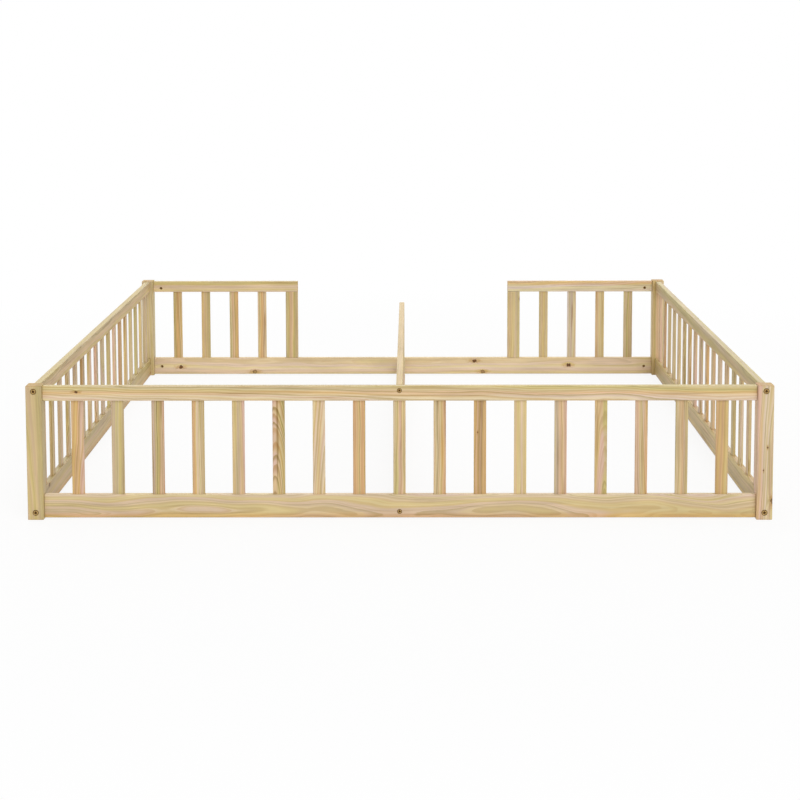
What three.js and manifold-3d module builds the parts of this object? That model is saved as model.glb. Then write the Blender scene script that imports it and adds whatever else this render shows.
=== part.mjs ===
// A low double floor bed for two children, in solid pine.
// Four corner posts carry a slatted fence all round. The back has two short fences with a way in between
// them. A slatted divider runs back from the middle of the front and stops short, so that a child can pass
// from one mattress to the other over its lower rail. Nothing on the bed moves.
// Millimetres, +Z up. The origin is on the floor under the middle of the bed. The front faces -Y.

import * as THREE from 'three';
import { mergeVertices } from 'three/addons/utils/BufferGeometryUtils.js';
import Module from 'manifold-3d';

// Overall size. Two mattresses of about 990 by 1905 lie side by side on the floor inside.
const bedWidth = 2060;
const bedDepth = 1990;
const postHeight = 376;

// Sections of the timber
const postSide = 44;
const railThickness = 20;
const dividerThickness = 18;
const topRailHeight = 41.5;
const lowerRailHeight = 65;
const slatWidth = 34;
const slatThickness = 8.5;
const stileWidth = 48;

// Where the rails lie between the top and the foot of a post
const topRailDrop = 2.5;
const lowerRailLift = 3;

// Slats and the runs they fill
const frontSlats = 17;
const sideSlats = 17;
const sideEndGap = 50;
const shortFenceSlats = 4;
const shortFenceRun = 571;
const dividerSlats = 12;
const dividerRun = 1415;

// Joints in the timber
const fit = 0.3;
const slatMortiseDepth = 12;
const tenonLength = 15;
const tenonThickness = 10;
const tenonShoulder = 7;
const stileTenonWidth = 30;
const stileTenonLength = 12;

// Worked edges
const postEasing = 2.5;
const railEasing = 2.5;
const slatEasing = 1.5;
const endEasing = 1.2;

// Bolts with a flat socket head, and the barrel nuts that they pull on
const shankDiameter = 6;
const headThickness = 3;
const postHeadDiameter = 16;
const railHeadDiameter = 13;
const headEasing = 0.6;
const socketAcrossFlats = 5;
const socketDepth = 2;
const nutDiameter = 10;
const nutLength = 14;
const nutSetback = 30;
const nutSlotWidth = 1.4;
const nutSlotDepth = 1.2;
const tipPastNut = 4;
const boreClearance = 0.5;
const frontBoltDrop = 15.5;
const frontBoltLift = 20;
const backBoltDrop = 29;
const backBoltLift = 33.5;

// Fineness of the round shapes
const edgeSteps = 2;
const slatEdgeSteps = 1;
const boltSides = 14;
const boreSides = 14;
const socketSides = 6;

// How far a cutter runs past the face that it opens, and how near two corners are to count as one
const overshoot = 1;
const weldDistance = 1e-4;

// Heights and clear runs that follow from the sizes above
const topRailTop = postHeight - topRailDrop;
const topRailBottom = topRailTop - topRailHeight;
const lowerRailTop = lowerRailLift + lowerRailHeight;
const slatLow = lowerRailTop - slatMortiseDepth + fit;
const slatHigh = topRailBottom + slatMortiseDepth - fit;
const acrossRun = bedWidth - 2 * postSide;
const alongRun = bedDepth - 2 * postSide;
const postCentreX = (bedWidth - postSide) / 2;
const postCentreY = (bedDepth - postSide) / 2;
const backRailFace = postCentreY - railThickness / 2;
const dividerStartY = -postCentreY + railThickness / 2;
const dividerFloorRun = backRailFace - dividerStartY;
const frontBoltHeights = { top: postHeight - frontBoltDrop, low: frontBoltLift };
const backBoltHeights = { top: postHeight - backBoltDrop, low: backBoltLift };

const wasm = await Module();
wasm.setup();

// Closed shapes and the cuts made in them

function toSolid(geometry) {
  geometry.deleteAttribute('normal');
  geometry.deleteAttribute('uv');
  const merged = mergeVertices(geometry, weldDistance);
  const corners = merged.index.array;
  const kept = [];
  for (let i = 0; i < corners.length; i += 3) {
    const [a, b, c] = [corners[i], corners[i + 1], corners[i + 2]];
    if (a !== b && b !== c && c !== a) kept.push(a, b, c);
  }
  return new wasm.Manifold(new wasm.Mesh({
    numProp: 3,
    vertProperties: new Float32Array(merged.attributes.position.array),
    triVerts: new Uint32Array(kept),
  }));
}

function toGeometry(solid) {
  const mesh = solid.getMesh();
  const geometry = new THREE.BufferGeometry();
  geometry.setAttribute('position', new THREE.BufferAttribute(mesh.vertProperties, 3));
  geometry.setIndex(new THREE.BufferAttribute(mesh.triVerts, 1));
  geometry.computeVertexNormals();
  return geometry;
}

function roundedRectangle(width, height, radius) {
  const x = width / 2;
  const y = height / 2;
  const shape = new THREE.Shape();
  shape.moveTo(radius - x, -y);
  shape.lineTo(x - radius, -y);
  shape.absarc(x - radius, radius - y, radius, -Math.PI / 2, 0);
  shape.lineTo(x, y - radius);
  shape.absarc(x - radius, y - radius, radius, 0, Math.PI / 2);
  shape.lineTo(radius - x, y);
  shape.absarc(radius - x, y - radius, radius, Math.PI / 2, Math.PI);
  shape.lineTo(-x, radius - y);
  shape.absarc(radius - x, radius - y, radius, Math.PI, 1.5 * Math.PI);
  return shape;
}

// A board with eased edges, its section in X and Y, standing up from z = 0
function uprightBoard(width, thickness, height, easing, ease = 0, steps = edgeSteps) {
  const geometry = new THREE.ExtrudeGeometry(roundedRectangle(width, thickness, easing), {
    depth: height - 2 * ease,
    curveSegments: steps,
    bevelEnabled: ease > 0,
    bevelSize: ease,
    bevelThickness: ease,
    bevelOffset: -ease,
    bevelSegments: 1,
  });
  return geometry.translate(0, 0, ease);
}

// The same board lying along X from 0 to length, centred on Y, from z = 0 up to its height
function railBoard(length, thickness, height) {
  const geometry = uprightBoard(thickness, height, length, railEasing, endEasing);
  const along = new THREE.Vector3(1, 0, 0);
  const across = new THREE.Vector3(0, 1, 0);
  const up = new THREE.Vector3(0, 0, 1);
  geometry.applyMatrix4(new THREE.Matrix4().makeBasis(across, up, along));
  return toSolid(geometry.translate(0, 0, height / 2));
}

function block(centre, size) {
  return toSolid(new THREE.BoxGeometry(size[0], size[1], size[2]).translate(centre[0], centre[1], centre[2]));
}

// A round cutter along X or Y between two places on that axis
function borer(axis, radius, from, to, centre) {
  const geometry = new THREE.CylinderGeometry(radius, radius, Math.abs(to - from), boreSides);
  const middle = (from + to) / 2;
  if (axis === 'x') geometry.rotateZ(Math.PI / 2).translate(middle, centre[0], centre[1]);
  else geometry.translate(centre[0], middle, centre[1]);
  return toSolid(geometry);
}

function cutAll(solid, cutters) {
  return cutters.reduce((left, cutter) => left.subtract(cutter), solid);
}

// The colours of single boards of pine, from pale sapwood to warm heartwood
const pineTones = ['#d9c190', '#d3b47c', '#dcc39a', '#cfae74', '#d6b98a', '#d8bb82'];
let boardsMade = 0;

function pine() {
  const color = pineTones[boardsMade % pineTones.length];
  boardsMade += 1;
  return new THREE.MeshStandardMaterial({ color, roughness: 0.62, metalness: 0 });
}

function bronze() {
  return new THREE.MeshStandardMaterial({ color: '#6b4c2a', roughness: 0.38, metalness: 0.9 });
}

function named(name, geometry, material, parent, x = 0, y = 0, z = 0) {
  const mesh = new THREE.Mesh(geometry, material);
  mesh.name = name;
  mesh.position.set(x, y, z);
  parent.add(mesh);
  return mesh;
}

// Slats. Their centres along a run are counted from the start of the run.

function slatCentres(count, start, end) {
  const gap = (end - start - count * slatWidth) / (count + 1);
  return Array.from({ length: count }, (_, i) => start + gap + slatWidth / 2 + i * (slatWidth + gap));
}

function evenCentres(count, run, endGap) {
  const first = endGap + slatWidth / 2;
  const pitch = (run - 2 * first) / (count - 1);
  return Array.from({ length: count }, (_, i) => first + i * pitch);
}

function slatGeometry(low, high) {
  const board = uprightBoard(slatWidth, slatThickness, high - low, slatEasing, 0, slatEdgeSteps);
  return board.translate(0, 0, low);
}

// Slots in the edge of a rail that take the slats, in the rail's own frame
function slatSlots(centres, edge) {
  const width = slatWidth + 2 * fit;
  const thickness = slatThickness + 2 * fit;
  return centres.map((x) => block([x, 0, edge], [width, thickness, 2 * slatMortiseDepth]));
}

// A slot for the tenon of an end stile, cut from the same edge
function stileSlot(x, edge) {
  const width = stileTenonWidth + 2 * fit;
  const thickness = tenonThickness + 2 * fit;
  return block([x, 0, edge], [width, thickness, 2 * (stileTenonLength + fit)]);
}

// A tenon on the end of a rail, sideways = -1 at the start and 1 at the far end
function railTenon(railEnd, sideways, height) {
  const overlap = endEasing + fit;
  const centre = railEnd + sideways * (tenonLength - overlap) / 2;
  return block([centre, 0, height / 2], [tenonLength + overlap, tenonThickness, height - 2 * tenonShoulder]);
}

// The bore for a bolt in the end of a rail, and the blind cross hole for its barrel nut, which opens on the
// face named by inward
function boltSeat(railEnd, sideways, height, thickness, inward) {
  const reach = nutSetback + nutDiameter / 2 + tipPastNut + fit;
  const nutX = railEnd - sideways * (nutSetback - fit);
  const mouth = railEnd + sideways * overshoot;
  const nutMouth = inward * (thickness / 2 + overshoot);
  const nutFloor = -inward * (nutLength / 2 + fit);
  return [
    borer('x', shankDiameter / 2 + boreClearance, mouth, railEnd - sideways * reach, [0, height]),
    borer('y', nutDiameter / 2 + fit, nutMouth, nutFloor, [nutX, height]),
  ];
}

// Corner posts. side is -1 on the left and 1 on the right; end is -1 at the front and 1 at the back.

function railMortise(axis, inward, railBottom, railHeight) {
  const thickness = tenonThickness + 2 * fit;
  const height = railHeight - 2 * tenonShoulder + 2 * fit;
  const depth = tenonLength + fit;
  const centreZ = railBottom + railHeight / 2;
  const offset = inward * postSide / 2;
  if (axis === 'x') return block([offset, 0, centreZ], [2 * depth, thickness, height]);
  return block([0, offset, centreZ], [thickness, 2 * depth, height]);
}

function throughBore(axis, outward, height) {
  const face = outward * postSide / 2;
  const mouth = face + outward * overshoot;
  const seat = face - outward * (headThickness + fit);
  return [
    borer(axis, shankDiameter / 2 + boreClearance, mouth, -mouth, [0, height]),
    borer(axis, postHeadDiameter / 2 + fit, mouth, seat, [0, height]),
  ];
}

function cornerPost(name, side, end, parent) {
  const mortiseAxis = end < 0 ? 'x' : 'y';
  const inward = end < 0 ? -side : -1;
  const boltAxis = end < 0 ? 'y' : 'x';
  const outward = end < 0 ? -1 : side;
  const heights = end < 0 ? frontBoltHeights : backBoltHeights;
  const solid = toSolid(uprightBoard(postSide, postSide, postHeight, postEasing, endEasing));
  const cutters = [
    railMortise(mortiseAxis, inward, topRailBottom, topRailHeight),
    railMortise(mortiseAxis, inward, lowerRailLift, lowerRailHeight),
    ...throughBore(boltAxis, outward, heights.top),
    ...throughBore(boltAxis, outward, heights.low),
  ];
  named(name, toGeometry(cutAll(solid, cutters)), pine(), parent, side * postCentreX, end * postCentreY);
}

// Hardware. A bolt's head faces -X in its own frame and its shank runs along +X.

function boltGeometry(headDiameter, length) {
  const shank = shankDiameter / 2;
  const head = headDiameter / 2;
  const profile = [
    [0, 0], [head - headEasing, 0], [head, headEasing], [head, headThickness],
    [shank, headThickness], [shank, length - headEasing], [shank - headEasing, length], [0, length],
  ].map(([radius, place]) => new THREE.Vector2(radius, place));
  const turned = new THREE.LatheGeometry(profile, boltSides).rotateZ(-Math.PI / 2);
  const cornerRadius = socketAcrossFlats / Math.sqrt(3);
  const socket = new THREE.CylinderGeometry(cornerRadius, cornerRadius, 2 * socketDepth, socketSides);
  return toGeometry(toSolid(turned).subtract(toSolid(socket.rotateZ(Math.PI / 2))));
}

// A barrel nut lies along Y, with its cross hole along X and its slot in the end that shows
function nutGeometry(inward) {
  const barrel = toSolid(new THREE.CylinderGeometry(nutDiameter / 2, nutDiameter / 2, nutLength, boltSides));
  const crossHole = borer('x', shankDiameter / 2 + fit, -nutDiameter, nutDiameter, [0, 0]);
  const slot = block([0, inward * nutLength / 2, 0], [2 * nutDiameter, 2 * nutSlotDepth, nutSlotWidth]);
  return toGeometry(cutAll(barrel, [crossHole, slot]));
}

// A bolt and its nut, in the frame of the run that they end. through is what the bolt passes before the
// rail's end; sideways is -1 where it comes in at the start of the run and 1 at the far end.
function boltAndNut(place, parent, headDiameter, through, start, sideways, height, inward) {
  const length = through + nutSetback + nutDiameter / 2 + tipPastNut;
  const bolt = named(`bolt_${place}`, boltGeometry(headDiameter, length), bronze(), parent);
  bolt.position.set(start + sideways * through, 0, height);
  if (sideways > 0) bolt.rotation.z = Math.PI;
  named(`nut_${place}`, nutGeometry(inward), bronze(), parent, start - sideways * nutSetback, 0, height);
}

// Fences. Each is a group whose X runs along the fence from its start, over its middle plane.

function fenceGroup(x, y, turned, parent) {
  const group = new THREE.Group();
  group.position.set(x, y, 0);
  group.rotation.z = turned ? Math.PI / 2 : 0;
  parent.add(group);
  return group;
}

function endStile(name, x, thickness, parent) {
  const low = lowerRailTop + fit;
  const high = topRailBottom - fit;
  const height = high - low + 2 * stileTenonLength;
  const body = toSolid(uprightBoard(stileWidth, thickness, high - low, railEasing).translate(0, 0, low));
  const tenon = block([0, 0, (low + high) / 2], [stileTenonWidth, tenonThickness, height]);
  named(name, toGeometry(body.add(tenon)), pine(), parent, x);
}

function rail(start, end, thickness, height, cutters, tenons) {
  const board = railBoard(end - start, thickness, height).translate([start, 0, 0]);
  const tenoned = tenons.reduce((joined, tenon) => joined.add(tenon), board);
  return cutAll(tenoned, cutters);
}

// The slats of this rail are glued into it for good, and are one piece with it here
function slattedTopRail(name, start, end, centres, thickness, cutters, tenons, parent) {
  let solid = rail(start, end, thickness, topRailHeight, cutters, tenons);
  for (const x of centres) {
    const slat = slatGeometry(slatLow - topRailBottom, slatMortiseDepth).translate(x, 0, 0);
    solid = solid.add(toSolid(slat));
  }
  named(name, toGeometry(solid), pine(), parent, 0, 0, topRailBottom);
}

function lowerRail(name, start, end, thickness, cutters, tenons, parent) {
  const solid = rail(start, end, thickness, lowerRailHeight, cutters, tenons);
  named(name, toGeometry(solid), pine(), parent, 0, 0, lowerRailLift);
}

// The hole for a bolt across a rail into the end of another, with the head let into the face named by outward
function crossBore(x, height, outward) {
  const face = outward * railThickness / 2;
  const mouth = face + outward * overshoot;
  const seat = face - outward * (headThickness + fit);
  return [
    borer('y', shankDiameter / 2 + boreClearance, mouth, -mouth, [x, height]),
    borer('y', railHeadDiameter / 2 + fit, mouth, seat, [x, height]),
  ];
}

function frontFence(parent) {
  const fence = fenceGroup(-acrossRun / 2, -postCentreY, false, parent);
  const centres = slatCentres(frontSlats, 0, acrossRun);
  const start = fit;
  const end = acrossRun - fit;
  const middle = acrossRun / 2;

  const topTenons = [railTenon(start, -1, topRailHeight), railTenon(end, 1, topRailHeight)];
  const topBore = crossBore(middle, frontBoltHeights.top - topRailBottom, -1);
  const topCuts = [...slatSlots(centres, 0), ...topBore];
  const top = rail(start, end, railThickness, topRailHeight, topCuts, topTenons);
  named('front_top_rail', toGeometry(top), pine(), fence, 0, 0, topRailBottom);

  const lowTenons = [railTenon(start, -1, lowerRailHeight), railTenon(end, 1, lowerRailHeight)];
  const lowBore = crossBore(middle, frontBoltHeights.low - lowerRailLift, -1);
  const lowCuts = [...slatSlots(centres, lowerRailHeight), ...lowBore];
  lowerRail('front_lower_rail', start, end, railThickness, lowCuts, lowTenons, fence);

  centres.forEach((x, i) => {
    const name = `front_slat_${String(i + 1).padStart(2, '0')}`;
    named(name, slatGeometry(slatLow, slatHigh), pine(), fence, x);
  });
}

// A side fence starts at the front post, where it is bolted, and ends in the back post, where it is tenoned.
// inward is the local Y on which the mattress lies.
function sideFence(word, side, parent) {
  const fence = fenceGroup(side * postCentreX, -alongRun / 2, true, parent);
  const inward = side;
  const start = fit;
  const end = alongRun - fit;
  const centres = evenCentres(sideSlats, alongRun, sideEndGap);
  const topSeat = boltSeat(start, -1, frontBoltHeights.top - topRailBottom, railThickness, inward);
  const lowSeat = boltSeat(start, -1, frontBoltHeights.low - lowerRailLift, railThickness, inward);
  const topTenon = railTenon(end, 1, topRailHeight);
  const lowTenon = railTenon(end, 1, lowerRailHeight);
  const topName = `${word}_top_rail_with_slats`;
  slattedTopRail(topName, start, end, centres, railThickness, topSeat, [topTenon], fence);
  const lowCuts = [...slatSlots(centres, lowerRailHeight), ...lowSeat];
  lowerRail(`${word}_lower_rail`, start, end, railThickness, lowCuts, [lowTenon], fence);
  for (const level of ['top', 'low']) {
    const height = frontBoltHeights[level];
    boltAndNut(`front_${word}_${level}`, fence, postHeadDiameter, postSide, 0, -1, height, inward);
  }
}

// The back has one lower rail, and a short fence at each end of it that stops at a stile
function backFence(parent) {
  const fence = fenceGroup(-acrossRun / 2, postCentreY, false, parent);
  const inward = -1;
  const lowHeight = backBoltHeights.low - lowerRailLift;
  const topHeight = backBoltHeights.top - topRailBottom;
  const lowCuts = [
    ...boltSeat(fit, -1, lowHeight, railThickness, inward),
    ...boltSeat(acrossRun - fit, 1, lowHeight, railThickness, inward),
    ...crossBore(acrossRun / 2, lowHeight, 1),
  ];
  const ends = [
    { word: 'left', sideways: -1, from: 0, to: shortFenceRun },
    { word: 'right', sideways: 1, from: acrossRun, to: acrossRun - shortFenceRun },
  ];
  for (const { word, sideways, from, to } of ends) {
    const stileX = to + sideways * stileWidth / 2;
    const innerEdge = to + sideways * stileWidth;
    const centres = slatCentres(shortFenceSlats, Math.min(from, innerEdge), Math.max(from, innerEdge));
    const start = Math.min(from - sideways * fit, to);
    const end = Math.max(from - sideways * fit, to);
    const seat = boltSeat(from - sideways * fit, sideways, topHeight, railThickness, inward);
    const topCuts = [...seat, stileSlot(stileX, 0)];
    const name = `back_${word}_top_rail_with_slats`;
    slattedTopRail(name, start, end, centres, railThickness, topCuts, [], fence);
    endStile(`back_${word}_end_stile`, stileX, railThickness, fence);
    lowCuts.push(...slatSlots(centres, lowerRailHeight), stileSlot(stileX, lowerRailHeight));
    for (const level of ['top', 'low']) {
      const height = backBoltHeights[level];
      boltAndNut(`back_${word}_${level}`, fence, postHeadDiameter, postSide, from, sideways, height, inward);
    }
  }
  lowerRail('back_lower_rail', fit, acrossRun - fit, railThickness, lowCuts, [], fence);
}

// The divider is bolted through the front rails and through the back lower rail. Its lower rail goes all
// the way to the back; its fence stops at a stile.
function dividerFence(parent) {
  const fence = fenceGroup(0, dividerStartY, true, parent);
  const inward = -1;
  const stileX = dividerRun - stileWidth / 2;
  const centres = slatCentres(dividerSlats, 0, dividerRun - stileWidth);
  const topSeat = boltSeat(fit, -1, frontBoltHeights.top - topRailBottom, dividerThickness, inward);
  const topCuts = [...topSeat, stileSlot(stileX, 0)];
  const topName = 'divider_top_rail_with_slats';
  slattedTopRail(topName, fit, dividerRun, centres, dividerThickness, topCuts, [], fence);
  endStile('divider_end_stile', stileX, dividerThickness, fence);
  const lowCuts = [
    ...boltSeat(fit, -1, frontBoltHeights.low - lowerRailLift, dividerThickness, inward),
    ...boltSeat(dividerFloorRun - fit, 1, backBoltHeights.low - lowerRailLift, dividerThickness, inward),
    ...slatSlots(centres, lowerRailHeight),
    stileSlot(stileX, lowerRailHeight),
  ];
  lowerRail('divider_lower_rail', fit, dividerFloorRun - fit, dividerThickness, lowCuts, [], fence);
  for (const level of ['top', 'low']) {
    const height = frontBoltHeights[level];
    boltAndNut(`front_middle_${level}`, fence, railHeadDiameter, railThickness, 0, -1, height, inward);
  }
  const height = backBoltHeights.low;
  boltAndNut('back_middle_low', fence, railHeadDiameter, railThickness, dividerFloorRun, 1, height, inward);
}

const bed = new THREE.Group();
cornerPost('post_front_left', -1, -1, bed);
cornerPost('post_front_right', 1, -1, bed);
cornerPost('post_back_left', -1, 1, bed);
cornerPost('post_back_right', 1, 1, bed);
frontFence(bed);
sideFence('left', -1, bed);
sideFence('right', 1, bed);
backFence(bed);
dividerFence(bed);

export default bed;
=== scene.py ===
# %% [markdown]
# A low double floor bed in solid pine.
# The bed is a fence of slats round two mattress bays, held by four corner posts and pulled together by
# bronzed bolts. Its construction comes in as a fixed frame, one node for each piece or glued-up fence.
# This lesson dresses that frame: every stick is made again with eased edges and real mortises, and gets a
# pine that is grown in nodes, so that the grain runs through each board from face to face and end to end.

# %% Load the construction as a fixed frame
import math
import random

import bmesh
import bpy
from mathutils import Euler, Matrix, Vector


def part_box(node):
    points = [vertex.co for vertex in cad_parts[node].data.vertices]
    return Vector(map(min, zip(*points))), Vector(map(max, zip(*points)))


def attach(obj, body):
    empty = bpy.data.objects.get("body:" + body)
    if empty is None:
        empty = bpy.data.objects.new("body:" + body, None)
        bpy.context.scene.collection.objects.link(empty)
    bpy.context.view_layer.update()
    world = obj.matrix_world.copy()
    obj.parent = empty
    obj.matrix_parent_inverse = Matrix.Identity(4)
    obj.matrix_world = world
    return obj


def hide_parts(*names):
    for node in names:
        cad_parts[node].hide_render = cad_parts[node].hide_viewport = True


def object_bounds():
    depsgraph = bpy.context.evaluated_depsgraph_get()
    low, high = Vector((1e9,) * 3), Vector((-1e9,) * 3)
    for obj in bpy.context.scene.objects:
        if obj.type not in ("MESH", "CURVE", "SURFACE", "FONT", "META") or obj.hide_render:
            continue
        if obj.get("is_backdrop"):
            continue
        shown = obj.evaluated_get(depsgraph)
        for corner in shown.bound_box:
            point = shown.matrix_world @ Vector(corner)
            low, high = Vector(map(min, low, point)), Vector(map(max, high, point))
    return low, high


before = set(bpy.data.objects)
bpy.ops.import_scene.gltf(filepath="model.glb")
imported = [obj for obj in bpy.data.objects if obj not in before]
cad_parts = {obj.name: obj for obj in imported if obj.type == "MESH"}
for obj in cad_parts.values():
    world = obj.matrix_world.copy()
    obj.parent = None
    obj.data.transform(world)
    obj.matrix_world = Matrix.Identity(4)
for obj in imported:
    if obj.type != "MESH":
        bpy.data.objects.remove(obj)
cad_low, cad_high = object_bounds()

print("nodes in the frame:", len(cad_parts))
print("size of the frame in metres:", [round(side, 4) for side in cad_high - cad_low])

# %% [markdown]
# The camera.
# The bed was photographed from the front, well above its top rails, with the lens shifted down so that the
# posts stay upright. The same view could be had by turning a plain camera down, but then the posts would
# lean together, so a share of the drop is left to the lens shift and only the rest to the tilt.

# %% Place the camera
MM = 0.001
front_plane = cad_low.y
camera_sideways = 31.16 * MM
camera_distance = 4384.6 * MM
camera_height = 1321.4 * MM
camera_tilt = 0.08584
camera_pan = -0.00639
camera_roll = 0.00208
camera_lens = 72.884
camera_shift = -0.275

camera = bpy.data.objects.new("camera", bpy.data.cameras.new("camera"))
camera.data.lens = camera_lens
camera.data.sensor_width = 36
camera.data.shift_y = camera_shift
camera.data.clip_end = 200
camera.location = (camera_sideways, front_plane - camera_distance, camera_height)
aim = Euler((math.pi / 2 - camera_tilt, 0, -camera_pan)).to_matrix()
camera.rotation_euler = (aim @ Matrix.Rotation(-camera_roll, 3, "Z")).to_euler()
bpy.context.scene.collection.objects.link(camera)
bpy.context.scene.camera = camera
print("camera at", [round(place, 3) for place in camera.location])

# %% [markdown]
# Sizes that the frame doesn't give by itself.
# The boxes of the nodes give every length, width and thickness. What they can't give is how a piece is
# worked: how round its edges are, how long its tenons are, and how many slats a fence holds where the
# slats and their rail are one node. Those few values are named here, in millimetres.

# %% Name the joiner's sizes
post_easing = 2.5 * MM
rail_easing = 2.5 * MM
slat_easing = 1.5 * MM
end_easing = 1.2 * MM
least_easing = 0.3 * MM
edge_steps = 4
end_steps = 3

tenon_length = 15 * MM
tenon_thickness = 10 * MM
tenon_shoulder = 7 * MM
stile_tenon_length = 12 * MM
stile_tenon_width = 30 * MM
fit = 0.3 * MM

side_slats = 17
side_end_gap = 50 * MM
short_fence_slats = 4
divider_slats = 12
print("slats stepped out by their count:", 2 * (side_slats + short_fence_slats) + divider_slats)

# %% [markdown]
# A board with eased edges.
# A real board comes out of the planer with sharp edges and is then run over a round-over bit, so that each
# long edge is a small quarter round and each end is softened too. A cube with a bevel would do, but it
# can't carry tenons. Here a board is a row of rounded sections along its length, which makes the eased
# ends, the shoulders and the tenons all in one closed skin of four-sided faces.

# %% Draw a rounded section and sweep it along a board
def section(width, thickness, radius):
    """Points of a rounded rectangle, once round."""
    points = []
    for quarter, (side_y, side_z) in enumerate([(1, 1), (-1, 1), (-1, -1), (1, -1)]):
        centre_y = side_y * (width / 2 - radius)
        centre_z = side_z * (thickness / 2 - radius)
        for step in range(edge_steps + 1):
            turn = math.pi / 2 * (quarter + step / edge_steps)
            points.append((centre_y + radius * math.cos(turn), centre_z + radius * math.sin(turn)))
    return points


def quarter_round(easing):
    """The steps of an eased end, each as how far along it is and how far it is drawn in."""
    turns = [math.pi / 2 * step / end_steps for step in range(end_steps + 1)]
    return [(easing * (1 - math.cos(turn)), easing * (1 - math.sin(turn))) for turn in turns]


def eased_stations(start, end, width, thickness, easing):
    """Sections from start to end, drawn in by a quarter round at both ends."""
    def station(along, inset):
        return along, width - 2 * inset, thickness - 2 * inset, max(easing - inset, least_easing)

    steps = quarter_round(end_easing)
    near_end = [station(start + run, inset) for run, inset in steps]
    far_end = [station(end - run, inset) for run, inset in reversed(steps)]
    return near_end + far_end


def bridge(shape, rings):
    """Faces from each ring of points to the next. A ring may also be a single point."""
    steps = max(len(ring) for ring in rings)
    for near, far in zip(rings, rings[1:]):
        for i in range(steps):
            j = (i + 1) % steps
            corners = [near[i % len(near)], near[j % len(near)], far[j % len(far)], far[i % len(far)]]
            shape.faces.new(list(dict.fromkeys(corners)))


def skin(stations):
    """A closed mesh through the sections. A station is (place along, width, thickness, corner radius)."""
    shape = bmesh.new()
    rings = []
    for along, *across in stations:
        rings.append([shape.verts.new((along, y, z)) for y, z in section(*across)])
    bridge(shape, rings)
    shape.faces.new(reversed(rings[0]))
    shape.faces.new(rings[-1])
    return shape


print("points in one section:", len(section(0.04, 0.02, rail_easing)))

# %% [markdown]
# Where a board lies, and the cuts in it.
# Each board gets its own axes: X runs with the grain, Y over the wide face and Z through the thickness.
# The grain nodes read those axes, so a board's figure always follows its length, however it is turned.
# Mortises, bolt holes and nut holes are cut with the exact boolean, because a joiner cuts them too, and the
# result is stored as a plain mesh, with no modifier left to go wrong.

# %% Find a board's axes
AXES = {"x": Vector((1, 0, 0)), "y": Vector((0, 1, 0)), "z": Vector((0, 0, 1))}


def board_axes(low, high, grain):
    """The board's place and axes as a matrix, and its size along, across and through."""
    size = dict(zip("xyz", high - low))
    others = [axis for axis in "xyz" if axis != grain]
    across, through = sorted(others, key=lambda axis: -round(size[axis], 4))
    turn = Matrix((AXES[grain], AXES[across], AXES[grain].cross(AXES[across]))).transposed()
    place = Matrix.Translation((low + high) / 2) @ turn.to_4x4()
    return place, Vector((size[grain], size[across], size[through]))


slat_size = board_axes(*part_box("front_slat_01"), "z")[1]
print("a front slat along, across and through, in mm:", [round(side / MM, 1) for side in slat_size])

# %% Make a piece and cut holes in it
SHARP_ABOVE = math.radians(32)


def make_piece(name, shape, place):
    """An object from a bmesh, at its place in the frame."""
    bmesh.ops.recalc_face_normals(shape, faces=shape.faces)
    mesh = bpy.data.meshes.new(name)
    shape.to_mesh(mesh)
    shape.free()
    piece = bpy.data.objects.new(name, mesh)
    piece.matrix_world = place
    bpy.context.scene.collection.objects.link(piece)
    return piece


def cut(piece, cutters):
    """Takes the cutters, which are bmeshes in the frame, out of a piece for good."""
    if not cutters:
        return
    together = bpy.data.meshes.new("cutters")
    joined = bmesh.new()
    for cutter in cutters:
        cutter.to_mesh(together)
        cutter.free()
        joined.from_mesh(together)
    tool = make_piece("cutters", joined, Matrix.Identity(4))
    modifier = piece.modifiers.new("cut", "BOOLEAN")
    modifier.operation = "DIFFERENCE"
    modifier.solver = "EXACT"
    modifier.object = tool
    bpy.context.view_layer.update()
    ready = piece.evaluated_get(bpy.context.evaluated_depsgraph_get())
    result = bpy.data.meshes.new_from_object(ready)
    piece.modifiers.clear()
    piece.data = result
    bpy.data.objects.remove(tool)


def soften_shading(piece):
    """Smooth shading over the easings, with the flat faces kept flat."""
    piece.data.shade_smooth()
    piece.data.set_sharp_from_angle(angle=SHARP_ABOVE)
    modifier = piece.modifiers.new("even_shading", "WEIGHTED_NORMAL")
    modifier.keep_sharp = True


def block(low, high, clearance=0.0):
    """A box-shaped cutter, larger than the box by a clearance on every side."""
    room = Vector((clearance, clearance, clearance))
    low, high = low - room, high + room
    shape = bmesh.new()
    middle = Matrix.Translation((low + high) / 2)
    bmesh.ops.create_cube(shape, matrix=middle @ Matrix.Diagonal((*(high - low), 1)))
    return shape


print("edges are shaded sharp above this many degrees:", round(math.degrees(SHARP_ABOVE)))

# %% [markdown]
# Round shapes.
# Bolts, nuts and the holes that take them are all turned, so one helper spins a profile round an axis. A
# cylinder for each step would have to be joined to the next, but a profile comes out as one closed skin.

# %% Spin a profile
round_steps = 40


def turned(profile, place=Matrix.Identity(4)):
    """A closed round shape. The profile is a list of (place along, radius), with radius 0 at both ends."""
    shape = bmesh.new()
    rings = []
    for along, radius in profile:
        ring = []
        for step in range(round_steps if radius else 1):
            turn = 2 * math.pi * step / round_steps
            point = Vector((along, radius * math.cos(turn), radius * math.sin(turn)))
            ring.append(shape.verts.new(place @ point))
        rings.append(ring)
    bridge(shape, rings)
    bmesh.ops.recalc_face_normals(shape, faces=shape.faces)
    return shape


def facing(origin, direction):
    """A place whose X axis points along direction."""
    return Matrix.Translation(origin) @ direction.to_track_quat("X", "Z").to_matrix().to_4x4()


print("degrees from one step round to the next:", 360 / round_steps)

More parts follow.
